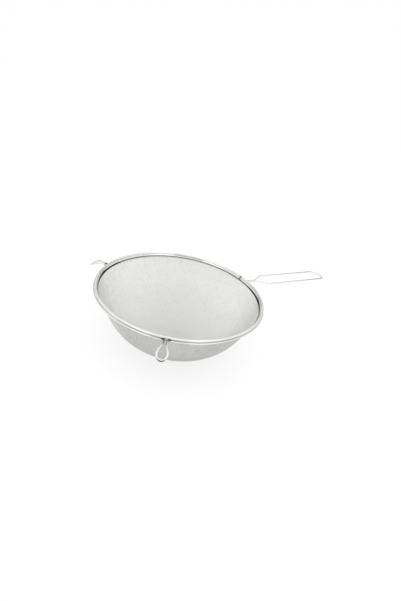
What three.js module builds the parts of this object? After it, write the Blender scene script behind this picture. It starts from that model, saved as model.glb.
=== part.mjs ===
// Bowl strainer: a woven wire bowl held in a rolled rim band, on a bent wire frame
// with two rest hooks and a long wire handle.
// Millimetres, +Z up. The origin is the middle of the flat foot that the bowl stands on,
// the rim lies level and the handle points along +X.
import * as THREE from 'three';

// Sizes of the whole strainer
const rimDiameter = 260; // over the hoop wire
const rimHeight = 97; // top of the rim above the foot
const footRadius = 20; // flat foot at the bottom of the bowl
const wallLean = THREE.MathUtils.degToRad(25); // of the bowl's wall at the rim, away from upright

// Materials as they are bought
const clothThickness = 0.9; // two crossing wires of the woven cloth
const bandSheet = 0.5; // sheet steel of the rim band
const wireDiameter = 2.8; // hoop, hooks and handle

// Rim band and hoop
const bandHeight = 7.5; // from the top of the rim to the lower edges of the band
const beadHeight = 4.2; // rolled bead along the top of the band, up the wall
const beadWidth = 3.8; // and across it
const bandSeamGap = 0.5; // where the ends of the band meet
const bandSeamAngle = THREE.MathUtils.degToRad(4.5); // of the seam, from the handle
const hoopDepth = 5.3; // of the hoop wire's middle below the top of the rim

// Rest hooks
const hookAngle = THREE.MathUtils.degToRad(128.1); // each side of the handle
const hookReach = 30; // out from the hoop, between wire middles
const hookLoopWidth = 13.4; // between wire middles
const hookNeckWidth = 5; // between wire middles
const hookNeckLength = 10.5; // out from the hoop to where the wires spread
const hookRise = 2.4; // of the arch above the hoop
const hookDrop = 7.2; // of the tip below the hoop
const hookFootHalf = 11; // from the hook's middle line to the end of each foot
const hookRootBend = 6; // bend radius
const hookSpreadBend = 10; // bend radius

// Handle
const handleReach = 202; // out from the hoop, between wire middles
const handleWidth = 29; // between wire middles
const handleNeckLength = 23; // where both wires run side by side
const handleShoulderLength = 25; // where they spread to the full width
const handleShoulderBend = 9; // bend radius
const handleRootBend = 4; // bend radius
const handleFootHalf = 13; // from the handle's middle line to the end of each foot
const handleDroop = THREE.MathUtils.degToRad(3.2); // below the level of the rim

// Openings through the bowl, a wide grid that stands in for the fine meshes of the cloth
const openingRows = 6; // from the foot to the rim
const openingColumns = 20; // round the bowl
const openingBar = 8.5; // cloth left between rows

// Clearance between pieces that touch on the finished strainer
const fitGap = 0.3;

// Fineness of the round surfaces
const columnSteps = 4; // for each opening and the bar beside it, which is one step wide
const turnSteps = openingColumns * columnSteps; // round the bowl and the rim
const wireSides = 8;
const beadSteps = 9; // from leg to leg
const bendSteps = 3; // for each quarter turn of a bent wire
const archStep = 4; // longest step along an arched wire

// The bowl's wall and everything at the rim is set out from the hoop wire's middle.
const wireRadius = wireDiameter / 2;
const hoopRadius = rimDiameter / 2 - wireRadius;
const hoopZ = rimHeight - hoopDepth;
const legInside = clothThickness / 2 + fitGap;
const legOutside = legInside + bandSheet;
const up = new THREE.Vector2(Math.sin(wallLean), Math.cos(wallLean));
const out = new THREE.Vector2(Math.cos(wallLean), -Math.sin(wallLean));
const wallAtHoop = new THREE.Vector2(hoopRadius, hoopZ)
  .addScaledVector(out, -(wireRadius + fitGap + legOutside));

// A point on the wall's middle surface at a height, as radius and height.
function wallAtHeight(height) {
  const climb = (height - wallAtHoop.y) / up.y;
  return wallAtHoop.clone().addScaledVector(up, climb);
}

const beadRise = Math.hypot(up.y * beadHeight, out.y * beadWidth) / 2;
const beadMiddle = wallAtHeight(rimHeight - beadRise);
const bandLeg = (bandHeight - beadRise) / up.y;
const clothAboveBead = beadHeight / 4;

// The bowl's section: a flat foot, a bend that meets the wall, and the wall up into the bead.
const footZ = clothThickness / 2;
const bendRise = wallAtHoop.y - footZ;
const bendSpread = wallAtHoop.x - footRadius;
const bendRadius = (out.x * bendSpread + out.y * bendRise) / (1 - up.x);
const bendLength = bendRadius * (Math.PI / 2 - wallLean);
const bendMiddle = new THREE.Vector2(footRadius, footZ + bendRadius);
const bendEnd = bendMiddle.clone().addScaledVector(out, bendRadius);
const bandEdge = footRadius + bendLength + bendEnd.distanceTo(beadMiddle) - bandLeg;
const clothLength = bandEdge + bandLeg + clothAboveBead;

function steel(color, roughness) {
  return new THREE.MeshStandardMaterial({ color, roughness, metalness: 1 });
}

const clothSteel = steel(0xcfd0cb, 0.4);
const bandSteel = steel(0xdcddd8, 0.22);
const wireSteel = steel(0xdedfdc, 0.28);

function closedSurface(positions, indices) {
  const geometry = new THREE.BufferGeometry();
  geometry.setAttribute('position', new THREE.Float32BufferAttribute(positions, 3));
  geometry.setIndex(indices);
  geometry.computeVertexNormals();
  return geometry;
}

// A point of the bowl's section, at a length of cloth from the axis and a distance outside
// the middle of the cloth, as radius and height.
function bowlPoint(run, outside) {
  const bent = Math.min(run - footRadius, bendLength) / bendRadius;
  const wall = Math.max(run - footRadius - bendLength, 0);
  const outward = new THREE.Vector2(Math.sin(bent), -Math.cos(bent));
  const upward = new THREE.Vector2(Math.cos(bent), Math.sin(bent));
  return bendMiddle.clone()
    .addScaledVector(outward, bendRadius + outside)
    .addScaledVector(upward, wall);
}

// Rings round the bowl as lengths of cloth from the axis: the foot, the lower and upper edge
// of each row of openings, and the edge of the cloth.
function bowlRings() {
  const rowPitch = (bandEdge - openingBar - footRadius) / openingRows;
  const rings = [footRadius];
  for (let row = 0; row < openingRows; row += 1) {
    const rowEnd = footRadius + (row + 1) * rowPitch;
    rings.push(rowEnd - rowPitch + openingBar, rowEnd);
  }
  return [...rings, clothLength];
}

// The bowl as a shell of the cloth's thickness, with rows of openings through it.
function meshBowl() {
  const rings = bowlRings();
  const bands = rings.length - 1;
  const faceSize = 1 + rings.length * turnSteps;
  const positions = [];
  [footZ, -footZ].forEach((outside) => {
    positions.push(0, 0, footZ - outside);
    rings.forEach((run) => {
      const { x, y } = bowlPoint(run, outside);
      for (let step = 0; step < turnSteps; step += 1) {
        const angle = 2 * Math.PI * step / turnSteps;
        positions.push(x * Math.cos(angle), x * Math.sin(angle), y);
      }
    });
  });
  const outer = (ring, step) => 1 + ring * turnSteps + step % turnSteps;
  const inner = (ring, step) => faceSize + outer(ring, step);
  const isOpen = (band, step) => band % 2 === 1 && step % columnSteps !== 0;
  const indices = [];
  const addQuad = (a, b, c, d) => indices.push(a, b, c, a, c, d);
  const addWall = (from, to) => (
    addQuad(outer(...to), outer(...from), inner(...from), inner(...to))
  );
  for (let step = 0; step < turnSteps; step += 1) {
    const next = step + 1;
    indices.push(0, outer(0, next), outer(0, step));
    indices.push(faceSize, inner(0, step), inner(0, next));
    for (let band = 0; band < bands; band += 1) {
      if (isOpen(band, step)) continue;
      const above = band + 1;
      addQuad(outer(band, step), outer(band, next), outer(above, next), outer(above, step));
      addQuad(inner(band, next), inner(band, step), inner(above, step), inner(above, next));
      if (isOpen(band - 1, step)) addWall([band, step], [band, next]);
      if (isOpen(band, next)) addWall([band, next], [above, next]);
      if (isOpen(above, step) || above === bands) addWall([above, next], [above, step]);
      if (isOpen(band, step + turnSteps - 1)) addWall([above, step], [band, step]);
    }
  }
  return closedSurface(positions, indices);
}

// One face of the bead, from a leg round the top to the other leg.
// Each face lies a distance inside the outer one.
function beadArc(inside) {
  const halfWidth = beadWidth / 2 - inside;
  const halfHeight = beadHeight / 2 - inside;
  const reach = Math.acos((legOutside - inside) / halfWidth);
  const points = [];
  for (let step = 0; step <= beadSteps; step += 1) {
    const angle = THREE.MathUtils.lerp(Math.PI + reach, -reach, step / beadSteps);
    points.push(beadMiddle.clone()
      .addScaledVector(out, halfWidth * Math.cos(angle))
      .addScaledVector(up, halfHeight * Math.sin(angle)));
  }
  return points;
}

// The band's section, a strip rolled over the edge of the cloth, as radius and height.
function bandSection() {
  const legEnd = (outside) => beadMiddle.clone()
    .addScaledVector(up, -bandLeg)
    .addScaledVector(out, outside);
  return [
    legEnd(-legOutside),
    ...beadArc(0),
    legEnd(legOutside),
    legEnd(legInside),
    ...beadArc(bandSheet).reverse(),
    legEnd(-legInside),
  ];
}

// A level arc about the bowl's axis.
class LevelArc extends THREE.Curve {
  constructor(radius, start, turn) {
    super();
    this.radius = radius;
    this.start = start;
    this.turn = turn;
  }

  getPoint(t, target = new THREE.Vector3()) {
    const angle = this.start + this.turn * t;
    return target.set(this.radius * Math.cos(angle), this.radius * Math.sin(angle), 0);
  }
}

// The band runs once round the rim and its ends meet at the seam.
function rimBand() {
  const gapTurn = bandSeamGap / beadMiddle.x;
  const path = new LevelArc(
    beadMiddle.x,
    bandSeamAngle + gapTurn / 2,
    2 * Math.PI - gapTurn,
  );
  const section = bandSection().map((point) => (
    new THREE.Vector2(-point.y, beadMiddle.x - point.x)
  ));
  return new THREE.ExtrudeGeometry(new THREE.Shape(section), {
    steps: turnSteps,
    extrudePath: path,
    bevelEnabled: false,
  });
}

// Round wire along a row of points, with each ring square to the wire.
function wireAlong(points) {
  const last = points.length - 1;
  const heading = (index) => points[index + 1].clone().sub(points[index]).normalize();
  const positions = [];
  const indices = [];
  let side = new THREE.Vector3(0, 0, 1);
  points.forEach((point, index) => {
    const before = heading(Math.max(index - 1, 0));
    const after = heading(Math.min(index, last - 1));
    const tangent = before.add(after).normalize();
    side = side.clone().projectOnPlane(tangent).normalize();
    const across = tangent.clone().cross(side);
    for (let corner = 0; corner < wireSides; corner += 1) {
      const angle = 2 * Math.PI * (corner + 0.5) / wireSides;
      const vertex = point.clone()
        .addScaledVector(side, wireRadius * Math.cos(angle))
        .addScaledVector(across, wireRadius * Math.sin(angle));
      positions.push(vertex.x, vertex.y, vertex.z);
    }
  });
  for (let ring = 0; ring < last; ring += 1) {
    for (let corner = 0; corner < wireSides; corner += 1) {
      const next = (corner + 1) % wireSides;
      const a = ring * wireSides + corner;
      const b = ring * wireSides + next;
      indices.push(a, b, b + wireSides, a, b + wireSides, a + wireSides);
    }
  }
  const lastRing = last * wireSides;
  for (let corner = 1; corner < wireSides - 1; corner += 1) {
    indices.push(0, corner + 1, corner);
    indices.push(lastRing, lastRing + corner, lastRing + corner + 1);
  }
  return closedSurface(positions, indices);
}

// Plan of a bent wire: straight runs between corners, each corner rounded to its bend radius.
function bentPlan(corners) {
  const points = [corners[0].at];
  for (let index = 1; index < corners.length - 1; index += 1) {
    const { at, bend } = corners[index];
    const before = at.clone().sub(corners[index - 1].at).normalize();
    const after = corners[index + 1].at.clone().sub(at).normalize();
    const turn = Math.atan2(before.cross(after), before.dot(after));
    const start = at.clone().addScaledVector(before, -bend * Math.tan(Math.abs(turn) / 2));
    const left = new THREE.Vector2(-before.y, before.x);
    const middle = start.clone().addScaledVector(left, Math.sign(turn) * bend);
    const steps = Math.ceil(bendSteps * Math.abs(turn) / (Math.PI / 2));
    for (let step = 0; step <= steps; step += 1) {
      points.push(start.clone().rotateAround(middle, turn * step / steps));
    }
  }
  points.push(corners[corners.length - 1].at);
  const nearest = wireRadius / 100;
  return points.filter((point, index) => (
    index === 0 || point.distanceTo(points[index - 1]) > nearest
  ));
}

// End of a foot on the hoop's circle, at a distance from the middle line.
function footEnd(half) {
  return new THREE.Vector2(Math.sqrt(hoopRadius ** 2 - half ** 2), half);
}

// Where a foot, running on straight along the hoop, reaches a neck wire.
function footCorner(half, neckHalf) {
  const end = footEnd(half);
  const back = (half - neckHalf) / end.x;
  return new THREE.Vector2(end.x + back * end.y, neckHalf);
}

// Both halves of a loop that is alike on both sides of its middle line.
function mirrored(half) {
  const otherHalf = half.map(({ at, bend }) => ({ at: new THREE.Vector2(at.x, -at.y), bend }));
  return [...half, ...otherHalf.reverse()];
}

// The same row of points with no step longer than a given one.
function withSteps(points, longest) {
  const finer = [points[0]];
  for (let index = 1; index < points.length; index += 1) {
    const before = points[index - 1];
    const count = Math.ceil(before.distanceTo(points[index]) / longest);
    for (let step = 1; step <= count; step += 1) {
      finer.push(before.clone().lerp(points[index], step / count));
    }
  }
  return finer;
}

// A bent wire's plan with its height above the hoop given along the way out from the hoop.
function raisedWire(plan, heightAt) {
  return wireAlong(plan.map((point) => (
    new THREE.Vector3(point.x, point.y, heightAt(Math.max(point.x - hoopRadius, 0)))
  )));
}

// A rest hook: two feet along the hoop, a narrow neck and a drop-shaped loop that arches down.
function restHook() {
  const neckHalf = hookNeckWidth / 2;
  const loopRadius = hookLoopWidth / 2;
  const neckEnd = hoopRadius + hookNeckLength;
  const tip = hoopRadius + hookReach;
  const run = tip - loopRadius - neckEnd;
  const flare = Math.asin(loopRadius / Math.hypot(run, neckHalf)) - Math.atan2(neckHalf, run);
  const slope = 2 * (hookRise + Math.sqrt(hookRise ** 2 + hookRise * hookDrop)) / hookReach;
  const fall = (hookDrop + slope * hookReach) / hookReach ** 2;
  const tipHalf = neckHalf + (tip - neckEnd) * Math.tan(flare);
  const plan = bentPlan(mirrored([
    { at: footEnd(hookFootHalf) },
    { at: footCorner(hookFootHalf, neckHalf), bend: hookRootBend },
    { at: new THREE.Vector2(neckEnd, neckHalf), bend: hookSpreadBend },
    { at: new THREE.Vector2(tip, tipHalf), bend: loopRadius },
  ]));
  return raisedWire(withSteps(plan, archStep), (reach) => slope * reach - fall * reach ** 2);
}

// The handle: two feet along the hoop, a neck of two wires side by side and a long loop.
function handleWire() {
  const neckHalf = wireRadius + fitGap / 2;
  const half = handleWidth / 2;
  const neckEnd = hoopRadius + handleNeckLength;
  const shoulder = neckEnd + handleShoulderLength;
  const tip = hoopRadius + handleReach;
  const plan = bentPlan(mirrored([
    { at: footEnd(handleFootHalf) },
    { at: footCorner(handleFootHalf, neckHalf), bend: handleRootBend },
    { at: new THREE.Vector2(neckEnd, neckHalf), bend: handleShoulderBend },
    { at: new THREE.Vector2(shoulder, half), bend: handleShoulderBend },
    { at: new THREE.Vector2(tip, half), bend: half },
  ]));
  return raisedWire(plan, (reach) => -Math.tan(handleDroop) * reach);
}

// A length of the hoop between two feet, with the fit gap left at each end.
function hoopLength(start, end) {
  const gapTurn = fitGap / hoopRadius;
  const turn = end - start - 2 * gapTurn;
  const steps = Math.ceil(turnSteps * turn / (2 * Math.PI));
  return wireAlong(new LevelArc(hoopRadius, start + gapTurn, turn).getPoints(steps));
}

const hookFootAngle = Math.asin(hookFootHalf / hoopRadius);
const handleFootAngle = Math.asin(handleFootHalf / hoopRadius);

function piece(name, geometry, material) {
  const mesh = new THREE.Mesh(geometry, material);
  mesh.name = name;
  return mesh;
}

const strainer = new THREE.Group();
strainer.add(piece('mesh_bowl', meshBowl(), clothSteel));

// The band's section is drawn at its own height, the wire frame at the hoop's.
strainer.add(piece('rim_band', rimBand(), bandSteel));

const frame = new THREE.Group();
frame.position.z = hoopZ;
strainer.add(frame);

frame.add(piece('handle_wire', handleWire(), wireSteel));

// Left and right are as seen from the handle.
const sides = [['left', -1], ['right', 1]];
sides.forEach(([side, sign]) => {
  const hook = piece(`rest_hook_${side}`, restHook(), wireSteel);
  hook.rotation.z = sign * hookAngle;
  frame.add(hook);
});

const nearTurn = [handleFootAngle, hookAngle - hookFootAngle];
frame.add(piece('hoop_wire_right', hoopLength(nearTurn[0], nearTurn[1]), wireSteel));
frame.add(piece('hoop_wire_left', hoopLength(-nearTurn[1], -nearTurn[0]), wireSteel));

const farTurn = [hookAngle + hookFootAngle, 2 * Math.PI - hookAngle - hookFootAngle];
frame.add(piece('hoop_wire_far', hoopLength(farTurn[0], farTurn[1]), wireSteel));

export default strainer;
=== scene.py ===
"""Bowl strainer: a woven wire bowl in a rolled rim band, on a bent wire frame.

This script weaves the cloth, rolls the band and bends the wires, each in the place of its plain
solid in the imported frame. It gives each its steel and sets a plain white studio round them.
Lengths are in metres, +Z is up and the handle points along +X.
"""

import logging
import math
from dataclasses import dataclass
from enum import Enum
from typing import ClassVar, NamedTuple

import bpy
import numpy as np
from mathutils import Matrix, Vector


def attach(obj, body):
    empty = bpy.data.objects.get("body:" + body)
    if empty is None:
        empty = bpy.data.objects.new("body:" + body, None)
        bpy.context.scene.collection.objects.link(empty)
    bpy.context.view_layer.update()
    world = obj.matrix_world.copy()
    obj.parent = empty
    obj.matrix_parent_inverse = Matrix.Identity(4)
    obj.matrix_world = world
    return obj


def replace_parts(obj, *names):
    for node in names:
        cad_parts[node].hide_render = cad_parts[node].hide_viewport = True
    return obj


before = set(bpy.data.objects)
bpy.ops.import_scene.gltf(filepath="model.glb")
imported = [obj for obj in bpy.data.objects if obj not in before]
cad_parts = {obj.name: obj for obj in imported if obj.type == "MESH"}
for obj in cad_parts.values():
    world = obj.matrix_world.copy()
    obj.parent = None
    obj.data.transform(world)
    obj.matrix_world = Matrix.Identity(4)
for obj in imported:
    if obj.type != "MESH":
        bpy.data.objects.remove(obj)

log = logging.getLogger("strainer")

Color = tuple[float, float, float]
Tree = bpy.types.NodeTree
Socket = bpy.types.NodeSocket

KEPT_MAP = "OFBake"  # the name of the cloth's map, laid over the flat cloth
GRAIN_MAP = "grain"
WEAR_AND_SHADE = "wear_and_shade"  # wear of the steel at a corner and painted shade there, from 0 to 1
BODY = "root"
LIP_WIDTH = 0.0023  # of the lip along the band's first edge, which grips the cloth and carries painted shade
SHARP_ANGLE = math.radians(35.0)  # a bend sharper than this shows as an edge
SAME_PLACE = 1e-6  # points closer than this count as one
WHITE = (1.0, 1.0, 1.0, 1.0)


class Slot(Enum):
    """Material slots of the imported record."""

    CLOTH = "woven_cloth"
    SHEET = "rim_sheet"
    WIRE = "frame_wire"


class Thread(Enum):
    """The two sets of wires in the cloth."""

    WARP = 1
    WEFT = -1


class Half(Enum):
    """The two halves of the flat cloth."""

    A = -1
    B = 1


class Side(Enum):
    """Sides of the strainer as seen from the handle."""

    LEFT = -1
    RIGHT = 1


class Grain(Enum):
    """What the fine marks on a steel follow."""

    PLACE = "place"
    LENGTH = "length"


class Corner(NamedTuple):
    """A corner of a wire's plan: its distances out and aside of the middle line, and its bend."""

    out: float
    aside: float
    bend: float

    @property
    def place(self) -> np.ndarray:
        """The corner without its bend radius."""
        return np.array((self.out, self.aside))


class Edge(NamedTuple):
    """An edge of a studio card: its distance from the middle of the studio and its height."""

    distance: float
    height: float


@dataclass(frozen=True)
class Mark:
    """A mark on steel that is full up to a distance and then fades out."""

    full: float
    fading: float

    def strength(self, distance: np.ndarray) -> np.ndarray:
        """How strong the mark is at each distance, from 0 to 1."""
        return np.clip(1.0 + (self.full - distance) / self.fading, 0.0, 1.0)


@dataclass(frozen=True)
class Sizes:
    """Sizes that more than one piece is set out from."""

    rim_diameter: float = 0.260
    rim_height: float = 0.097
    foot_radius: float = 0.020
    wall_lean: float = math.radians(25.0)
    cloth_thickness: float = 0.0009
    sheet: float = 0.0005
    wire_diameter: float = 0.0028
    hoop_depth: float = 0.0053
    bead_height: float = 0.0042
    bead_width: float = 0.0038
    fit_gap: float = 0.0003
    hook_angle: float = math.radians(128.1)

    @property
    def wire_radius(self) -> float:
        """Radius of the frame wire."""
        return self.wire_diameter / 2

    @property
    def hoop_radius(self) -> float:
        """Radius of the hoop at the middle of its wire."""
        return self.rim_diameter / 2 - self.wire_radius

    @property
    def hoop_height(self) -> float:
        """Height of the middle of the hoop wire."""
        return self.rim_height - self.hoop_depth

    @property
    def leg_outside(self) -> float:
        """Half the thickness of the band's two legs and the cloth between them."""
        return self.cloth_thickness / 2 + self.fit_gap + self.sheet

    @property
    def up(self) -> np.ndarray:
        """Direction up the wall, as radius and height."""
        return np.array((math.sin(self.wall_lean), math.cos(self.wall_lean)))

    @property
    def out(self) -> np.ndarray:
        """Direction out of the wall, as radius and height."""
        return np.array((math.cos(self.wall_lean), -math.sin(self.wall_lean)))

    @property
    def wall_at_hoop(self) -> np.ndarray:
        """The wall's middle line beside the hoop, as radius and height."""
        reach = self.wire_radius + self.fit_gap + self.leg_outside
        return np.array((self.hoop_radius, self.hoop_height)) - self.out * reach

    @property
    def bead_rise(self) -> float:
        """Height of the top of the rim above the middle of the bead."""
        return math.hypot(self.up[1] * self.bead_height, self.out[1] * self.bead_width) / 2

    @property
    def bead_middle(self) -> np.ndarray:
        """Middle of the bead along the rim, as radius and height."""
        climb = (self.rim_height - self.bead_rise - self.wall_at_hoop[1]) / self.up[1]
        return self.wall_at_hoop + self.up * climb

    @property
    def cloth_edge(self) -> np.ndarray:
        """Edge of the cloth inside the bead, as radius and height."""
        return self.bead_middle + self.up * self.bead_height / 4


@dataclass(frozen=True)
class Steel:
    """A bright steel whose tone, gloss and surface vary a little with fine marks."""

    name: str
    color: Color
    deep_color: Color
    roughness: float
    roughness_spread: float
    grain: Grain
    grain_scale: tuple[float, float, float]
    bump: float
    # darker colour of wear and of painted shade, blended in by each corner's value
    wear_and_shade_color: Color
    # painted shade on the lip that grips the cloth
    lip_shade_color: Color | None = None
    grain_detail: float = 3.0
    cloud_scale: float = 38.0
    cloud_detail: float = 2.0
    low_noise: float = 0.3
    high_noise: float = 0.7
    bump_strength: float = 0.5

    def material(self) -> bpy.types.Material:
        """Makes the node material.

        Returns:
            The material, ready to assign.
        """
        made = bpy.data.materials.new(self.name)
        made.use_nodes = True
        tree = made.node_tree
        shader = tree.nodes["Principled BSDF"]
        shader.inputs["Metallic"].default_value = 1.0
        place = tree.nodes.new("ShaderNodeTexCoord").outputs["Object"]
        marks = self.fine_marks(tree, place)
        clouds = self.noise(tree, place, self.cloud_scale, self.cloud_detail)
        color = self.tone(tree, marks, clouds)
        # Painted shade: the lip where the band grips the cloth is coloured dark as a shadowed
        # crevice.
        if self.lip_shade_color:
            color = self.blend(tree, color, self.lip_shade_color, self.on_shaded_lip(tree))
        # Blends in the darker colour of wear and of painted shade, by each corner's value.
        darkened = tree.nodes.new("ShaderNodeAttribute")
        darkened.attribute_name = WEAR_AND_SHADE
        color = self.blend(tree, color, self.wear_and_shade_color, darkened.outputs["Fac"])
        tree.links.new(color, shader.inputs["Base Color"])
        tree.links.new(self.gloss(tree, marks), shader.inputs["Roughness"])
        tree.links.new(self.relief(tree, marks), shader.inputs["Normal"])
        return made

    @staticmethod
    def noise(tree: Tree, place: Socket, scale: float, detail: float) -> Socket:
        """A noise that varies from place to place.

        Args:
            tree: Node tree to add to.
            place: The coordinates that it follows.
            scale: How fine it is.
            detail: How many finer layers it has.

        Returns:
            The socket with the noise.
        """
        made = tree.nodes.new("ShaderNodeTexNoise")
        made.inputs["Scale"].default_value = scale
        made.inputs["Detail"].default_value = detail
        tree.links.new(place, made.inputs["Vector"])
        return made.outputs["Fac"]

    @staticmethod
    def grain_map(tree: Tree) -> Socket:
        """The map of a piece's length and of the way across it.

        Args:
            tree: Node tree to add to.

        Returns:
            The socket with the map.
        """
        made = tree.nodes.new("ShaderNodeUVMap")
        made.uv_map = GRAIN_MAP
        return made.outputs["UV"]

    def fine_marks(self, tree: Tree, place: Socket) -> Socket:
        """The fine marks, a noise that is stretched along the grain.

        Args:
            tree: Node tree to add to.
            place: The object's own coordinates.

        Returns:
            The socket with the noise.
        """
        stretch = tree.nodes.new("ShaderNodeMapping")
        stretch.inputs["Scale"].default_value = self.grain_scale
        follows = self.grain_map(tree) if self.grain is Grain.LENGTH else place
        tree.links.new(follows, stretch.inputs["Vector"])
        return self.noise(tree, stretch.outputs["Vector"], 1.0, self.grain_detail)

    def tone(self, tree: Tree, marks: Socket, clouds: Socket) -> Socket:
        """The colour of the clean steel, between its deep and its light tone.

        Args:
            tree: Node tree to add to.
            marks: The fine marks.
            clouds: The wide, soft noise.

        Returns:
            The socket with the colour.
        """
        both = tree.nodes.new("ShaderNodeMath")
        both.operation = "ADD"
        tree.links.new(marks, both.inputs[0])
        tree.links.new(clouds, both.inputs[1])
        mean = tree.nodes.new("ShaderNodeMath")
        mean.operation = "DIVIDE"
        mean.inputs[1].default_value = 2.0
        tree.links.new(both.outputs["Value"], mean.inputs[0])
        made = tree.nodes.new("ShaderNodeValToRGB")
        deep, light = made.color_ramp.elements
        deep.position, deep.color = self.low_noise, (*self.deep_color, 1.0)
        light.position, light.color = self.high_noise, (*self.color, 1.0)
        tree.links.new(mean.outputs["Value"], made.inputs["Fac"])
        return made.outputs["Color"]

    def gloss(self, tree: Tree, marks: Socket) -> Socket:
        """The roughness, which varies with the fine marks.

        Args:
            tree: Node tree to add to.
            marks: The fine marks.

        Returns:
            The socket with the roughness.
        """
        made = tree.nodes.new("ShaderNodeMapRange")
        made.inputs["From Min"].default_value = self.low_noise
        made.inputs["From Max"].default_value = self.high_noise
        made.inputs["To Min"].default_value = self.roughness - self.roughness_spread
        made.inputs["To Max"].default_value = self.roughness + self.roughness_spread
        tree.links.new(marks, made.inputs["Value"])
        return made.outputs["Result"]

    def relief(self, tree: Tree, marks: Socket) -> Socket:
        """The slight unevenness that the fine marks give the surface.

        Args:
            tree: Node tree to add to.
            marks: The fine marks.

        Returns:
            The socket with the surface's direction.
        """
        made = tree.nodes.new("ShaderNodeBump")
        made.inputs["Strength"].default_value = self.bump_strength
        made.inputs["Distance"].default_value = self.bump
        tree.links.new(marks, made.inputs["Height"])
        return made.outputs["Normal"]

    def on_shaded_lip(self, tree: Tree) -> Socket:
        """A value that is 1 on the lip along the first edge of a strip, which grips the cloth and
        is painted dark as shade.

        Args:
            tree: Node tree to add to.

        Returns:
            The socket with the value.
        """
        parts = tree.nodes.new("ShaderNodeSeparateXYZ")
        tree.links.new(self.grain_map(tree), parts.inputs["Vector"])
        below = tree.nodes.new("ShaderNodeMath")
        below.operation = "LESS_THAN"
        below.inputs[1].default_value = LIP_WIDTH
        tree.links.new(parts.outputs["Y"], below.inputs[0])
        return below.outputs["Value"]

    @staticmethod
    def blend(tree: Tree, plain: Socket, marked: Color, share: Socket) -> Socket:
        """Blends one colour over another.

        Args:
            tree: Node tree to add to.
            plain: The colour underneath.
            marked: The colour over it.
            share: How much of the second colour shows.

        Returns:
            The socket with the blended colour.
        """
        mix = tree.nodes.new("ShaderNodeMix")
        mix.data_type = "RGBA"
        mix.inputs["B"].default_value = (*marked, 1.0)
        tree.links.new(share, mix.inputs["Factor"])
        tree.links.new(plain, mix.inputs["A"])
        return mix.outputs["Result"]


CLOTH_STEEL = Steel(
    name="woven_steel",
    color=(0.96, 0.963, 0.942),
    deep_color=(0.90, 0.903, 0.882),
    roughness=0.38,
    roughness_spread=0.08,
    grain=Grain.PLACE,
    grain_scale=(900.0, 900.0, 900.0),
    bump=0.00002,
    # colour of a worn cloth wire, and of the painted shade low in the bowl
    wear_and_shade_color=(0.50, 0.503, 0.485),
)
SHEET_STEEL = Steel(
    name="polished_sheet_steel",
    color=(0.84, 0.845, 0.825),
    deep_color=(0.77, 0.775, 0.755),
    roughness=0.15,
    roughness_spread=0.05,
    grain=Grain.LENGTH,
    grain_scale=(60.0, 6000.0, 1.0),
    bump=0.00001,
    # colour of the dark seam joint, and of the painted shade in the groove beside the hooks
    wear_and_shade_color=(0.07, 0.068, 0.062),
    # painted shade on the lip where the band grips the cloth
    lip_shade_color=(0.20, 0.20, 0.19),
)
WIRE_STEEL = Steel(
    name="drawn_wire_steel",
    color=(0.80, 0.805, 0.785),
    deep_color=(0.71, 0.715, 0.695),
    roughness=0.16,
    roughness_spread=0.05,
    grain=Grain.LENGTH,
    grain_scale=(90.0, 5000.0, 1.0),
    bump=0.00001,
    # painted shade on the hooks: between their wires, on top near the roots and under the tips
    wear_and_shade_color=(0.05, 0.048, 0.044),
)


@dataclass
class Shape:
    """Corners, faces, map, and wear and painted shade of one piece, before it becomes an object.
    """

    points: np.ndarray
    faces: list[tuple[int, ...]]
    map_points: np.ndarray
    map_name: str = GRAIN_MAP
    crimped_rings: int = 0
    wear_and_shade: np.ndarray | None = None

    def piece(self, name: str, steel: bpy.types.Material, slot: Slot) -> bpy.types.Object:
        """Makes the object, dresses it and lets it ride on the strainer.

        Args:
            name: Name of the piece.
            steel: Its material.
            slot: The record's slot for the piece, which is not used.

        Returns:
            The new object.
        """
        mesh = bpy.data.meshes.new(name)
        mesh.from_pydata(self.points, [], self.faces, shade_flat=False)
        corner_points = np.empty(len(mesh.loops), dtype=np.int32)
        mesh.loops.foreach_get("vertex_index", corner_points)
        layer = mesh.uv_layers.new(name=self.map_name)
        layer.data.foreach_set("uv", self.map_points[corner_points].astype(np.float32).ravel())
        # Wear and painted shade go on as a value on each corner.
        if self.wear_and_shade is not None:
            darkened = mesh.attributes.new(WEAR_AND_SHADE, "FLOAT", "POINT")
            darkened.data.foreach_set("value", self.wear_and_shade.astype(np.float32))
        if self.crimped_rings:
            self.crimp(mesh)
        else:
            mesh.set_sharp_from_angle(angle=SHARP_ANGLE)
        mesh.materials.append(steel)
        made = bpy.data.objects.new(name, mesh)
        bpy.context.scene.collection.objects.link(made)
        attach(made, BODY)
        log.info("%s: %d faces", name, len(mesh.polygons))
        return made

    def crimp(self, mesh: bpy.types.Mesh) -> None:
        """Keeps the bend between the steps of a crimped wire crisp, and the wire round.

        Args:
            mesh: The mesh, whose rings have as many corners as crimped_rings says.
        """
        ends = np.empty(2 * len(mesh.edges), dtype=np.int32)
        mesh.edges.foreach_get("vertices", ends)
        ring = ends.reshape(-1, 2) // self.crimped_rings
        crisp = mesh.attributes.new("sharp_edge", "BOOLEAN", "EDGE")
        crisp.data.foreach_set("value", ring[:, 0] == ring[:, 1])


def ring_faces(rings: int, corners: int, first: int = 0) -> list[tuple[int, ...]]:
    """Faces of a closed tube of rings, with both ends capped.

    Args:
        rings: Number of rings.
        corners: Corners in each ring.
        first: Index of the first corner of the first ring.

    Returns:
        The faces as rows of corner indices.
    """
    start = np.arange(rings - 1)[:, None] * corners + first
    corner = np.arange(corners)[None, :]
    following = (corner + 1) % corners
    sides = np.stack(
        (start + corner, start + following, start + corners + following, start + corners + corner),
        axis=-1,
    ).reshape(-1, 4)
    last = first + (rings - 1) * corners
    near_end = tuple(range(first + corners - 1, first - 1, -1))
    far_end = tuple(range(last, last + corners))
    return [*map(tuple, sides.tolist()), near_end, far_end]


def unit(rows: np.ndarray) -> np.ndarray:
    """The same rows, each one metre long."""
    return rows / np.linalg.norm(rows, axis=-1, keepdims=True)


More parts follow.
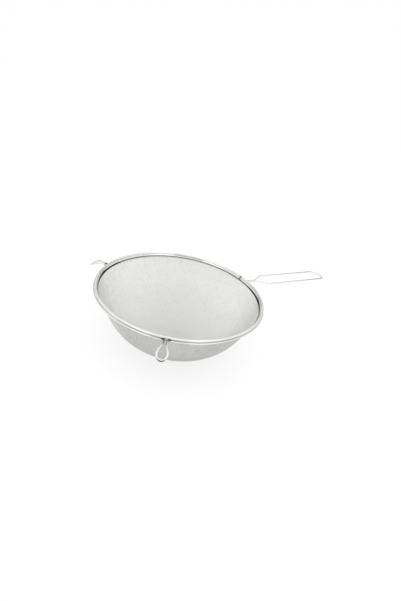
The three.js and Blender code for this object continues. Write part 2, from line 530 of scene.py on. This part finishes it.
def round_wire(path: np.ndarray, radius: float | np.ndarray, sides: int) -> Shape:
    """A round wire along a row of points.

    Args:
        path: Points along the wire's middle.
        radius: Radius of the wire, one for all or one for each point.
        sides: Corners in each ring.

    Returns:
        The wire, with a map of its length and its way round.
    """
    steps = unit(np.diff(path, axis=0))
    before = np.vstack((steps[:1], steps))
    after = np.vstack((steps, steps[-1:]))
    heading = unit(before + after)
    radii = np.broadcast_to(radius, len(path))
    angle = 2 * math.pi * np.arange(sides) / sides
    length = np.concatenate(([0.0], np.cumsum(np.linalg.norm(np.diff(path, axis=0), axis=1))))
    side = np.array((0.0, 0.0, 1.0))
    points, map_points = [], []
    for at, way, thick, run in zip(path, heading, radii, length):
        side = unit(side - way * side.dot(way))
        across = np.cross(way, side)
        turned = np.cos(angle)[:, None] * side + np.sin(angle)[:, None] * across
        points.append(at + thick * turned)
        map_points.append(np.column_stack((np.full(sides, run), angle * thick)))
    return Shape(np.vstack(points), ring_faces(len(path), sides), np.vstack(map_points))


@dataclass
class WovenBowl:
    """The bowl of plain-woven wire cloth, pressed to its round shape."""

    sizes: Sizes
    pitch: float = 0.0014
    thread: float = 0.00045
    uneven: float = 0.05
    bias: float = math.radians(17.0)
    wire_tone: float = 0.10
    speck_rarity: float = 7.0
    # Painted shade: the cloth is darkened towards the bottom of the bowl.
    painted_low_shade: float = 0.35
    painted_low_shade_rise: Mark = Mark(0.0, 0.055)
    corners: int = 4
    seed: int = 7

    @property
    def bend_radius(self) -> float:
        """Radius of the round part of the bowl, in section.

        Returns:
            The radius at which the bend meets both the foot and the wall smoothly.
        """
        rise = self.sizes.wall_at_hoop[1] - self.sizes.cloth_thickness / 2
        spread = self.sizes.wall_at_hoop[0] - self.sizes.foot_radius
        out = self.sizes.out
        return (out[0] * spread + out[1] * rise) / (1 - self.sizes.up[0])

    @property
    def bend_length(self) -> float:
        """Length of the round part of the bowl, in section."""
        return self.bend_radius * (math.pi / 2 - self.sizes.wall_lean)

    @property
    def edge(self) -> float:
        """Length of the cloth from the bowl's middle to its edge inside the rim band.

        Returns:
            The length over the foot, the bend and the wall.
        """
        lean = self.sizes.wall_lean
        bend_end = self.sizes.foot_radius + self.bend_radius * math.cos(lean)
        wall = (self.sizes.cloth_edge[0] - bend_end) / math.sin(lean)
        return self.sizes.foot_radius + self.bend_length + wall

    def lay(self, flat: np.ndarray) -> tuple[np.ndarray, np.ndarray]:
        """Lays points of the flat cloth on the bowl.

        Args:
            flat: Points on the flat cloth, from its middle.

        Returns:
            The points on the bowl's middle surface and the outward directions there.
        """
        run = np.hypot(flat[:, 0], flat[:, 1])
        turn = np.arctan2(flat[:, 1], flat[:, 0]) + self.bias
        foot, lean = self.sizes.foot_radius, self.sizes.wall_lean
        bent = np.clip((run - foot) / self.bend_radius, 0.0, math.pi / 2 - lean)
        wall = np.maximum(run - foot - self.bend_length, 0.0)
        out_r, out_z = np.sin(bent), -np.cos(bent)
        radius = np.minimum(run, foot) + self.bend_radius * out_r + wall * self.sizes.up[0]
        height = self.bend_radius * (1 + out_z) + wall * self.sizes.up[1]
        height = height + self.sizes.cloth_thickness / 2
        cos, sin = np.cos(turn), np.sin(turn)
        return (
            np.column_stack((radius * cos, radius * sin, height)),
            np.column_stack((out_r * cos, out_r * sin, out_z)),
        )

    def strand(self, place: float, count: int, thread: Thread) -> tuple[np.ndarray, np.ndarray]:
        """One wire of the cloth, over and under the wires that it crosses.

        Args:
            place: Where it lies across the flat cloth.
            count: Its number, which says where it goes over and where under.
            thread: The set that it belongs to.

        Returns:
            Its corners, ring by ring, and their places on the flat cloth.
        """
        half = math.sqrt(self.edge**2 - place**2)
        reach = math.floor(half / self.pitch - 0.5)
        crossing = np.arange(-reach - 1, reach + 1)
        along = np.concatenate(([-half], (crossing + 0.5) * self.pitch, [half]))
        over = np.concatenate(([0.0], np.where((crossing + count) % 2, 1.0, -1.0), [0.0]))
        order = slice(None) if thread is Thread.WARP else slice(None, None, -1)
        flat = np.column_stack((np.full(len(along), place), along))[:, order]
        at, out = self.lay(flat)
        at = at + out * (over * thread.value * self.thread / 2)[:, None]
        way = unit(np.gradient(at, axis=0))
        across = unit(np.cross(way, out))
        angle = 2 * math.pi * np.arange(self.corners) / self.corners
        lift = np.cos(angle)[None, :, None] * out[:, None, :]
        shift = np.sin(angle)[None, :, None] * across[:, None, :]
        points = at[:, None, :] + (lift + shift) * self.thread / 2
        flat_shift = np.zeros((len(along), self.corners, 2))
        flat_shift[:, :, 0 if thread is Thread.WARP else 1] = np.sin(angle) * self.thread / 2
        places = flat[:, None, :] + flat_shift
        return points.reshape(-1, 3), places.reshape(-1, 2)

    def wear_and_shade(self, points: np.ndarray, random: np.random.Generator) -> np.ndarray:
        """How dark a wire of the cloth is: its own tone and rare specks, and painted shade that
        darkens it low in the bowl.

        Args:
            points: Its corners, ring by ring.
            random: Where its chances come from.

        Returns:
            The wear and painted shade of each corner.
        """
        tone = random.uniform(0.0, self.wire_tone)
        specks = random.uniform(0.0, 1.0, len(points) // self.corners) ** self.speck_rarity
        # painted shade, darker towards the bottom of the bowl
        low = self.painted_low_shade_rise.strength(points[:, 2])
        wear_and_low_shade = tone + np.repeat(specks, self.corners) + self.painted_low_shade * low
        return np.clip(wear_and_low_shade, 0.0, 1.0)

    def strip(self, thread: Thread, half: Half) -> Shape:
        """Half of one set of wires.

        Args:
            thread: The set.
            half: The half of the flat cloth.

        Returns:
            The wires as one shape, with a map of the flat cloth.
        """
        random = np.random.default_rng((self.seed, thread.value + 1, half.value + 1))
        points, places, wear_and_shade, faces, first = [], [], [], [], 0
        for count in range(math.floor(self.edge / self.pitch - 0.5)):
            wander = self.uneven * self.pitch * random.uniform(-1.0, 1.0)
            number = count if half is Half.B else -count - 1
            place = (number + 0.5) * self.pitch + wander
            strand_points, strand_places = self.strand(place, number, thread)
            points.append(strand_points)
            places.append(strand_places)
            wear_and_shade.append(self.wear_and_shade(strand_points, random))
            faces.extend(ring_faces(len(strand_points) // self.corners, self.corners, first))
            first += len(strand_points)
        flat_map = np.vstack(places) / (2 * self.edge) + 0.5
        return Shape(
            np.vstack(points), faces, flat_map, KEPT_MAP, self.corners, np.concatenate(wear_and_shade)
        )

    def build(self) -> None:
        """Weaves the cloth in place of the plain bowl."""
        steel = CLOTH_STEEL.material()
        for thread in Thread:
            for half in Half:
                name = f"cloth_{thread.name.lower()}_{half.name.lower()}"
                made = self.strip(thread, half).piece(name, steel, Slot.CLOTH)
                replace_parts(made, "mesh_bowl")


@dataclass
class RimBand:
    """The strip of sheet steel rolled over the edge of the cloth, with a bead at its top."""

    sizes: Sizes
    height: float = 0.0075
    seam_gap: float = 0.0005
    seam_angle: float = math.radians(4.5)
    lip_flare: float = math.radians(17.0)
    # Painted shade in the groove under the bead beside each hook: a fading band and darker spots.
    painted_shade: Mark = Mark(math.radians(2.4), math.radians(8.0))
    painted_shade_share: float = 0.45
    shade_spot: Mark = Mark(math.radians(0.6), math.radians(1.0))
    shade_spot_turn: float = math.radians(1.9)
    groove_steps: int = 4
    bead_steps: int = 24
    turn_steps: int = 360
    LIP_CORNERS: ClassVar[int] = 2  # of the section, before the bead
    LEG_CORNERS: ClassVar[int] = 2  # of the section, at the end of the outer leg

    def bead(self, inside: float) -> np.ndarray:
        """One face of the bead, from the inner leg round the top to the outer leg.

        Args:
            inside: Distance of the face below the bead's outer face.

        Returns:
            Points as radius and height.
        """
        half_width = self.sizes.bead_width / 2 - inside
        half_height = self.sizes.bead_height / 2 - inside
        reach = math.acos((self.sizes.leg_outside - inside) / half_width)
        turn = np.linspace(math.pi + reach, -reach, self.bead_steps + 1)
        away = np.column_stack((half_width * np.cos(turn), half_height * np.sin(turn)))
        return self.sizes.bead_middle + away @ np.array((self.sizes.out, self.sizes.up))

    def leg_point(self, outside: float, above_end: float = 0.0) -> np.ndarray:
        """A point of a leg, as radius and height.

        Args:
            outside: Its distance outside the cloth's middle.
            above_end: Its distance from the leg's lower end.

        Returns:
            The point.
        """
        leg = (self.height - self.sizes.bead_rise) / self.sizes.up[1] - above_end
        return self.sizes.bead_middle - self.sizes.up * leg + self.sizes.out * outside

    def section(self) -> np.ndarray:
        """The band's section, all the way round from the inner lip.

        Returns:
            Points as radius and height.
        """
        outside = self.sizes.leg_outside
        inside = outside - self.sizes.sheet
        spring = LIP_WIDTH * math.tan(self.lip_flare)
        return np.vstack(
            (
                self.leg_point(-outside - spring),
                self.leg_point(-outside, LIP_WIDTH),
                self.bead(0.0),
                self.leg_point(outside),
                self.leg_point(inside),
                self.bead(self.sizes.sheet)[::-1],
                self.leg_point(-inside, LIP_WIDTH),
                self.leg_point(-inside - spring),
            )
        )

    def wear_and_shade(self, turn: np.ndarray, corners: int) -> np.ndarray:
        """How dark the band is: a dark joint at its seam, and painted shade in the groove under
        the bead beside the hooks.

        Args:
            turn: Angle of each ring.
            corners: Corners in each ring.

        Returns:
            The wear and painted shade of each corner, ring by ring.
        """
        seam_and_shade = np.zeros((len(turn), corners))
        seam_and_shade[[0, -1], :] = 1.0
        bead_end = self.LIP_CORNERS + self.bead_steps
        groove = slice(bead_end - self.groove_steps, bead_end + self.LEG_CORNERS + 1)
        # painted shade in the groove beside each hook
        for side in Side:
            hook = side.value * self.sizes.hook_angle
            away = np.abs((turn - hook + math.pi) % (2 * math.pi) - math.pi)
            painted_shade = self.painted_shade_share * self.painted_shade.strength(away)
            shade_spots = self.shade_spot.strength(np.abs(away - self.shade_spot_turn))
            darkest = np.maximum(painted_shade, shade_spots)[:, None]
            seam_and_shade[:, groove] = np.maximum(seam_and_shade[:, groove], darkest)
        return seam_and_shade.ravel()

    def build(self) -> None:
        """Rolls the band in place of the plain one."""
        section = self.section()
        gap_turn = self.seam_gap / self.sizes.bead_middle[0]
        turn = self.seam_angle + np.linspace(
            gap_turn / 2, 2 * math.pi - gap_turn / 2, self.turn_steps + 1
        )
        radius, height = section[:, 0], section[:, 1]
        points = np.stack(
            (
                np.cos(turn)[:, None] * radius,
                np.sin(turn)[:, None] * radius,
                np.broadcast_to(height, (len(turn), len(height))),
            ),
            axis=-1,
        )
        steps = np.linalg.norm(np.diff(section, axis=0), axis=1)
        across = np.concatenate(([0.0], np.cumsum(steps)))
        run = turn * self.sizes.bead_middle[0]
        map_points = np.stack(np.broadcast_arrays(run[:, None], across[None, :]), axis=-1)
        faces = ring_faces(len(turn), len(section))
        shape = Shape(points.reshape(-1, 3), faces, map_points.reshape(-1, 2))
        shape.wear_and_shade = self.wear_and_shade(turn, len(section))
        made = shape.piece("rolled_rim_band", SHEET_STEEL.material(), Slot.SHEET)
        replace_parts(made, "rim_band")


@dataclass
class WireFrame:
    """The hoop under the rim, the two rest hooks and the handle, all bent from one wire."""

    sizes: Sizes
    hook_reach: float = 0.030
    hook_loop_width: float = 0.0134
    hook_neck_width: float = 0.0050
    hook_neck_length: float = 0.0105
    hook_rise: float = 0.0024
    hook_drop: float = 0.0072
    hook_foot_half: float = 0.011
    hook_root_bend: float = 0.006
    hook_spread_bend: float = 0.010
    handle_reach: float = 0.202
    handle_width: float = 0.029
    handle_neck_length: float = 0.023
    handle_shoulder_length: float = 0.025
    handle_shoulder_bend: float = 0.009
    handle_root_bend: float = 0.004
    handle_foot_half: float = 0.013
    handle_droop: float = math.radians(3.2)
    weld_length: float = 0.0022
    weld_swell: float = 0.00012
    weld_sink: float = 0.000012
    weld_steps: int = 13
    # Painted shade on the hooks: between the wires near the roots, on top near the roots, and
    # under the tips.
    left_painted_shade: Mark = Mark(0.0072, 0.006)
    right_painted_shade: Mark = Mark(0.00396, 0.0033)
    shade_spot: Mark = Mark(0.0012, 0.002)
    shade_spot_shift: float = 0.0018
    tip_painted_shade: Mark = Mark(0.0006, 0.0012)
    inner_face: float = -0.05
    top_face: float = 0.2
    under_face: float = 0.0
    face_fading: float = 0.25
    bend_steps: int = 12
    sides: int = 16
    step: float = 0.0012

    def bent_plan(self, corners: list[Corner]) -> np.ndarray:
        """A wire's plan: straight runs between corners rounded to their bend radius.

        Args:
            corners: Corners of one half, from the foot's end to the loop's tip.

        Returns:
            Points along both halves, evenly close to each other.
        """
        mirror = [Corner(row.out, -row.aside, row.bend) for row in reversed(corners)]
        rows = [*corners, *mirror]
        path = [rows[0].place]
        for earlier, here, later in zip(rows, rows[1:], rows[2:]):
            before = unit(here.place - earlier.place)
            after = unit(later.place - here.place)
            turn = math.atan2(before[0] * after[1] - before[1] * after[0], before.dot(after))
            start = here.place - before * here.bend * math.tan(abs(turn) / 2)
            left = np.array((-before[1], before[0])) * math.copysign(1.0, turn)
            for part in np.linspace(0.0, abs(turn), self.bend_steps):
                ahead = before * math.sin(part) + left * (1 - math.cos(part))
                path.append(start + ahead * here.bend)
        path.append(rows[-1].place)
        return self.evenly(np.array(path))

    def evenly(self, path: np.ndarray) -> np.ndarray:
        """The same path with points a small step apart.

        Args:
            path: Points along a wire, some of them in the same place.

        Returns:
            The new points.
        """
        length = np.linalg.norm(np.diff(path, axis=0), axis=1)
        keep = np.concatenate(([True], length > SAME_PLACE))
        path = path[keep]
        run = np.concatenate(([0.0], np.cumsum(np.linalg.norm(np.diff(path, axis=0), axis=1))))
        places = np.linspace(0.0, run[-1], math.ceil(run[-1] / self.step) + 1)
        return np.column_stack([np.interp(places, run, part) for part in path.T])

    def foot_end(self, half: float) -> Corner:
        """End of a foot on the hoop's circle, half a foot's width aside of the middle line."""
        return Corner(math.sqrt(self.sizes.hoop_radius**2 - half**2), half, 0.0)

    def foot_corner(self, half: float, neck_half: float, bend: float) -> Corner:
        """Where a foot that runs straight on along the hoop reaches a neck wire.

        Args:
            half: Distance of the foot's end from the middle line.
            neck_half: Distance of the neck wire from the middle line.
            bend: Bend radius there.

        Returns:
            The corner of the plan.
        """
        end = self.foot_end(half)
        return Corner(end.out + (half - neck_half) / end.out * end.aside, neck_half, bend)

    def hook_root(self) -> Corner:
        """Where a hook's foot turns out from the hoop."""
        neck_half = self.hook_neck_width / 2
        return self.foot_corner(self.hook_foot_half, neck_half, self.hook_root_bend)

    def on_face(self, share: np.ndarray, start: float) -> np.ndarray:
        """How much of a mark shows on one face of a wire.

        Args:
            share: How far each corner lies towards that face, as a share of the wire's radius.
            start: The share from which the mark shows.

        Returns:
            The strength at each corner, from 0 to 1.
        """
        return np.clip((share - start) / self.face_fading, 0.0, 1.0)

    def hook_painted_shade(self, path: np.ndarray, points: np.ndarray, side: Side) -> np.ndarray:
        """Painted shade on a hook: between its wires and on top near their roots, and under its
        tip.

        Args:
            path: Middle of its wire.
            points: Corners of its rings.
            side: The side that the hook is on.

        Returns:
            The painted shade of each corner.
        """
        turn = side.value * self.sizes.hook_angle
        outward = np.array((math.cos(turn), math.sin(turn), 0.0))
        across = np.array((-math.sin(turn), math.cos(turn), 0.0))
        middle = np.repeat(path, self.sides, axis=0)
        out, aside = middle @ outward, np.abs(middle @ across)
        off_middle = (points - middle) / self.sizes.wire_radius
        inner = (aside - np.abs(points @ across)) / self.sizes.wire_radius
        under = (off_middle @ outward - off_middle[:, 2]) / math.sqrt(2)

        root = self.hook_root()
        past_root, beside_root = out - root.out, aside - root.aside
        painted_shade = self.left_painted_shade if side is Side.LEFT else self.right_painted_shade
        between = painted_shade.strength(np.hypot(past_root, beside_root))
        shade_spot_away = np.hypot(past_root - self.shade_spot_shift, beside_root - self.shade_spot_shift)
        tip = self.sizes.hoop_radius + self.hook_reach
        return np.maximum.reduce(
            (
                between * self.on_face(inner, self.inner_face),
                self.shade_spot.strength(shade_spot_away) * self.on_face(-under, self.top_face),
                self.tip_painted_shade.strength(tip - out) * self.on_face(under, self.under_face),
            )
        )

    def hook_path(self, side: Side) -> np.ndarray:
        """Middle of a rest hook's wire.

        Args:
            side: The side that the hook is on.

        Returns:
            Points along the wire.
        """
        neck_half = self.hook_neck_width / 2
        loop = self.hook_loop_width / 2
        neck_end = self.sizes.hoop_radius + self.hook_neck_length
        tip = self.sizes.hoop_radius + self.hook_reach
        run = tip - loop - neck_end
        flare = math.asin(loop / math.hypot(run, neck_half)) - math.atan2(neck_half, run)
        plan = self.bent_plan(
            [
                self.foot_end(self.hook_foot_half),
                self.hook_root(),
                Corner(neck_end, neck_half, self.hook_spread_bend),
                Corner(tip, neck_half + (tip - neck_end) * math.tan(flare), loop),
            ]
        )
        rise, drop, reach = self.hook_rise, self.hook_drop, self.hook_reach
        slope = 2 * (rise + math.sqrt(rise**2 + rise * drop)) / reach
        fall = (drop + slope * reach) / reach**2
        away = np.maximum(plan[:, 0] - self.sizes.hoop_radius, 0.0)
        height = self.sizes.hoop_height + slope * away - fall * away**2
        turn = side.value * self.sizes.hook_angle
        cos, sin = math.cos(turn), math.sin(turn)
        return np.column_stack(
            (plan[:, 0] * cos - plan[:, 1] * sin, plan[:, 0] * sin + plan[:, 1] * cos, height)
        )

    def handle_path(self) -> np.ndarray:
        """Middle of the handle's wire, from one foot round the loop to the other.

        Returns:
            Points along the wire.
        """
        neck_half = self.sizes.wire_radius + self.sizes.fit_gap / 2
        half = self.handle_width / 2
        neck_end = self.sizes.hoop_radius + self.handle_neck_length
        shoulder = neck_end + self.handle_shoulder_length
        tip = self.sizes.hoop_radius + self.handle_reach
        plan = self.bent_plan(
            [
                self.foot_end(self.handle_foot_half),
                self.foot_corner(self.handle_foot_half, neck_half, self.handle_root_bend),
                Corner(neck_end, neck_half, self.handle_shoulder_bend),
                Corner(shoulder, half, self.handle_shoulder_bend),
                Corner(tip, half, half),
            ]
        )
        away = np.maximum(plan[:, 0] - self.sizes.hoop_radius, 0.0)
        height = self.sizes.hoop_height - math.tan(self.handle_droop) * away
        return np.column_stack((plan, height))

    def hoop_path(self, start: float, end: float, steps: int | None = None) -> np.ndarray:
        """Middle of a length of the hoop.

        Args:
            start: Angle at its first end, from the handle.
            end: Angle at its other end.
            steps: Number of points, or none for points a small step apart.

        Returns:
            Points along the wire.
        """
        radius = self.sizes.hoop_radius
        steps = steps or math.ceil((end - start) * radius / self.step) + 1
        turn = np.linspace(start, end, steps)
        height = np.full(steps, self.sizes.hoop_height)
        return np.column_stack((radius * np.cos(turn), radius * np.sin(turn), height))

    def weld(self, angle: float, steel: bpy.types.Material, name: str) -> None:
        """The low swelling of a butt weld round the hoop, whose ends sink into the wire.

        Args:
            angle: Where it lies, from the handle.
            steel: Its material.
            name: Name of the piece.
        """
        half = self.weld_length / 2 / self.sizes.hoop_radius
        path = self.hoop_path(angle - half, angle + half, self.weld_steps)
        swell = self.weld_swell * np.cos(np.linspace(-math.pi / 2, math.pi / 2, self.weld_steps))
        thick = self.sizes.wire_radius + swell - self.weld_sink
        round_wire(path, thick, self.sides).piece(name, steel, Slot.WIRE)

    def build(self) -> None:
        """Bends the wires in place of the plain ones and welds them end to end."""
        steel = WIRE_STEEL.material()
        handle_foot = math.asin(self.handle_foot_half / self.sizes.hoop_radius)
        hook_foot = math.asin(self.hook_foot_half / self.sizes.hoop_radius)
        near, far = self.sizes.hook_angle - hook_foot, self.sizes.hook_angle + hook_foot
        hooks = {f"rest_hook_{side.name.lower()}": side for side in Side}
        paths = {
            **{node: self.hook_path(side) for node, side in hooks.items()},
            "handle_wire": self.handle_path(),
            "hoop_wire_right": self.hoop_path(handle_foot, near),
            "hoop_wire_left": self.hoop_path(-near, -handle_foot),
            "hoop_wire_far": self.hoop_path(far, 2 * math.pi - far),
        }
        for node, path in paths.items():
            shape = round_wire(path, self.sizes.wire_radius, self.sides)
            if node in hooks:
                # the hooks carry painted shade
                shape.wear_and_shade = self.hook_painted_shade(path, shape.points, hooks[node])
            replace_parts(shape.piece(f"bent_{node}", steel, Slot.WIRE), node)
        for side in Side:
            for place, angle in (("handle", handle_foot), ("near", near), ("far", far)):
                self.weld(side.value * angle, steel, f"weld_{place}_{side.name.lower()}")


@dataclass
class PhotoCamera:
    """The camera at the photograph's viewing angle."""

    aim: Vector
    azimuth: float = math.radians(-38.727)
    elevation: float = math.radians(30.462)
    roll: float = math.radians(12.357)
    distance: float = 0.555655
    aim_right: float = -0.028995
    aim_up: float = 0.01899
    focal_pixels: float = 363.463
    image_width: int = 401
    sensor: float = 36.0
    nearest: float = 0.01
    farthest: float = 100.0

    def build(self) -> None:
        """Makes the camera and gives it to the scene."""
        right = Vector((math.cos(self.azimuth), math.sin(self.azimuth), 0.0))
        back = Vector(
            (
                math.sin(self.azimuth) * math.cos(self.elevation),
                -math.cos(self.azimuth) * math.cos(self.elevation),
                math.sin(self.elevation),
            )
        )
        level_up = back.cross(right)
        image_right = right * math.cos(self.roll) + level_up * math.sin(self.roll)
        image_up = level_up * math.cos(self.roll) - right * math.sin(self.roll)
        at = self.aim - image_right * self.aim_right - image_up * self.aim_up
        at = at + back * self.distance
        turned = Matrix((image_right, image_up, back)).transposed()
        lens = bpy.data.cameras.new("photo_camera")
        lens.sensor_fit = "HORIZONTAL"
        lens.sensor_width = self.sensor
        lens.lens = self.sensor * self.focal_pixels / self.image_width
        lens.clip_start = self.nearest
        lens.clip_end = self.farthest
        camera = bpy.data.objects.new("photo_camera", lens)
        camera.matrix_world = Matrix.Translation(at) @ turned.to_4x4()
        bpy.context.scene.collection.objects.link(camera)
        bpy.context.scene.camera = camera


@dataclass(frozen=True)
class Flag:
    """A grey card round the strainer, which bright steel mirrors as its darker lines.

    Its middle and half its width are in degrees round the strainer. Its last end can stand
    higher than its first one.
    """

    name: str
    middle: float
    half_turn: float
    low: Edge
    high: Edge
    grey: float
    climb: float = 0.0
    steps: int = 12

    def build(self) -> None:
        """Sets the card up, out of the camera's sight."""
        made = bpy.data.materials.new(self.name)
        made.use_nodes = True
        shader = made.node_tree.nodes["Principled BSDF"]
        shader.inputs["Base Color"].default_value = (self.grey, self.grey, self.grey, 1.0)
        shader.inputs["Roughness"].default_value = 1.0
        shader.inputs["Specular IOR Level"].default_value = 0.0
        along = np.linspace(-1.0, 1.0, self.steps)
        turn = np.radians(self.middle + self.half_turn * along)
        points = []
        for edge in (self.low, self.high):
            x, y = edge.distance * np.cos(turn), edge.distance * np.sin(turn)
            points.extend(np.column_stack((x, y, edge.height + self.climb * along / 2)))
        faces = [(i, i + 1, i + 1 + self.steps, i + self.steps) for i in range(self.steps - 1)]
        mesh = bpy.data.meshes.new(self.name)
        mesh.from_pydata(points, [], faces)
        mesh.materials.append(made)
        card = bpy.data.objects.new(self.name, mesh)
        card.visible_camera = False
        card.visible_diffuse = False
        card.visible_shadow = False
        bpy.context.scene.collection.objects.link(card)


@dataclass
class Studio:
    """A white floor, soft light from above and grey cards for the steel to mirror."""

    floor_reach: float = 8.0
    floor_below: float = 0.0002
    floor_glow: float = 0.55
    room_light: float = 1.0
    key_power: float = 26.0
    key_size: float = 5.0
    key_at: Vector = Vector((-0.9, -1.2, 1.9))
    flags: tuple[Flag, ...] = (
        Flag("flag_right", 13.5, 23.5, Edge(1.1, 0.22), Edge(1.1, 0.54), grey=0.03, climb=-0.65),
        Flag("flag_left", 94.5, 21.5, Edge(1.1, 0.19), Edge(1.1, 0.51), grey=0.03, climb=0.58),
        # This card lies on the floor in front of the strainer and is seen only in reflections: a
        # painted shadow of the floor there.
        Flag("floor_shadow_card", 243.0, 65.0, Edge(0.10, 0.001), Edge(0.45, 0.001), grey=0.63),
        Flag("flag_front", 232.0, 24.0, Edge(1.1, 0.30), Edge(1.1, 1.00), grey=0.50),
        Flag("flag_back", 55.0, 30.0, Edge(1.1, 0.60), Edge(1.1, 2.16), grey=0.75),
    )

    @staticmethod
    def seen_directly(tree: Tree) -> Socket:
        """A value that is 1 where the camera, a gloss or a clear surface looks.

        Args:
            tree: Node tree to add to.

        Returns:
            The socket with the value.
        """
        path = tree.nodes.new("ShaderNodeLightPath")
        most = path.outputs["Is Camera Ray"]
        for ray in ("Is Glossy Ray", "Is Transmission Ray"):
            larger = tree.nodes.new("ShaderNodeMath")
            larger.operation = "MAXIMUM"
            tree.links.new(most, larger.inputs[0])
            tree.links.new(path.outputs[ray], larger.inputs[1])
            most = larger.outputs["Value"]
        return most

    def floor(self) -> None:
        """Lays the floor, which stays white where it is lit and keeps soft shadows."""
        made = bpy.data.materials.new("white_floor")
        made.use_nodes = True
        tree = made.node_tree
        tree.nodes.clear()
        matt = tree.nodes.new("ShaderNodeBsdfDiffuse")
        matt.inputs["Color"].default_value = WHITE
        glow = tree.nodes.new("ShaderNodeEmission")
        share = tree.nodes.new("ShaderNodeMath")
        share.operation = "MULTIPLY"
        share.inputs[1].default_value = self.floor_glow
        tree.links.new(self.seen_directly(tree), share.inputs[0])
        mix = tree.nodes.new("ShaderNodeMixShader")
        tree.links.new(share.outputs["Value"], mix.inputs["Fac"])
        tree.links.new(matt.outputs["BSDF"], mix.inputs[1])
        tree.links.new(glow.outputs["Emission"], mix.inputs[2])
        surface = tree.nodes.new("ShaderNodeOutputMaterial")
        tree.links.new(mix.outputs["Shader"], surface.inputs["Surface"])
        reach = self.floor_reach
        ends = ((-reach, -reach), (reach, -reach), (reach, reach), (-reach, reach))
        corners = [(x, y, -self.floor_below) for x, y in ends]
        mesh = bpy.data.meshes.new("floor")
        mesh.from_pydata(corners, [], [(0, 1, 2, 3)])
        mesh.materials.append(made)
        floor = bpy.data.objects.new("floor", mesh)
        bpy.context.scene.collection.objects.link(floor)

    def room(self) -> None:
        """Sets the light of the room, which looks white."""
        world = bpy.data.worlds.new("white_room")
        world.use_nodes = True
        tree = world.node_tree
        tree.nodes.clear()
        light = tree.nodes.new("ShaderNodeBackground")
        light.inputs["Color"].default_value = WHITE
        light.inputs["Strength"].default_value = self.room_light
        surface = tree.nodes.new("ShaderNodeOutputWorld")
        tree.links.new(light.outputs["Background"], surface.inputs["Surface"])
        bpy.context.scene.world = world

    def key(self) -> None:
        """Hangs the large soft lamp."""
        lamp = bpy.data.lights.new("soft_key", "AREA")
        lamp.shape = "SQUARE"
        lamp.size = self.key_size
        lamp.energy = self.key_power
        hung = bpy.data.objects.new("soft_key", lamp)
        hung.location = self.key_at
        hung.rotation_mode = "QUATERNION"
        hung.rotation_quaternion = (-self.key_at).to_track_quat("-Z", "Y")
        bpy.context.scene.collection.objects.link(hung)

    def build(self) -> None:
        """Sets up the floor, the room, the lamp and the cards."""
        self.floor()
        self.room()
        self.key()
        for flag in self.flags:
            flag.build()
        bpy.context.scene.view_settings.view_transform = "Standard"


def main() -> None:
    """Builds the strainer and its studio."""
    logging.basicConfig(level=logging.INFO, format="%(name)s %(message)s")
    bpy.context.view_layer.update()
    sizes = Sizes()
    PhotoCamera(aim=Vector((0.0, 0.0, sizes.rim_height))).build()
    Studio().build()
    WovenBowl(sizes).build()
    RimBand(sizes).build()
    WireFrame(sizes).build()


if __name__ == "__main__":
    main()
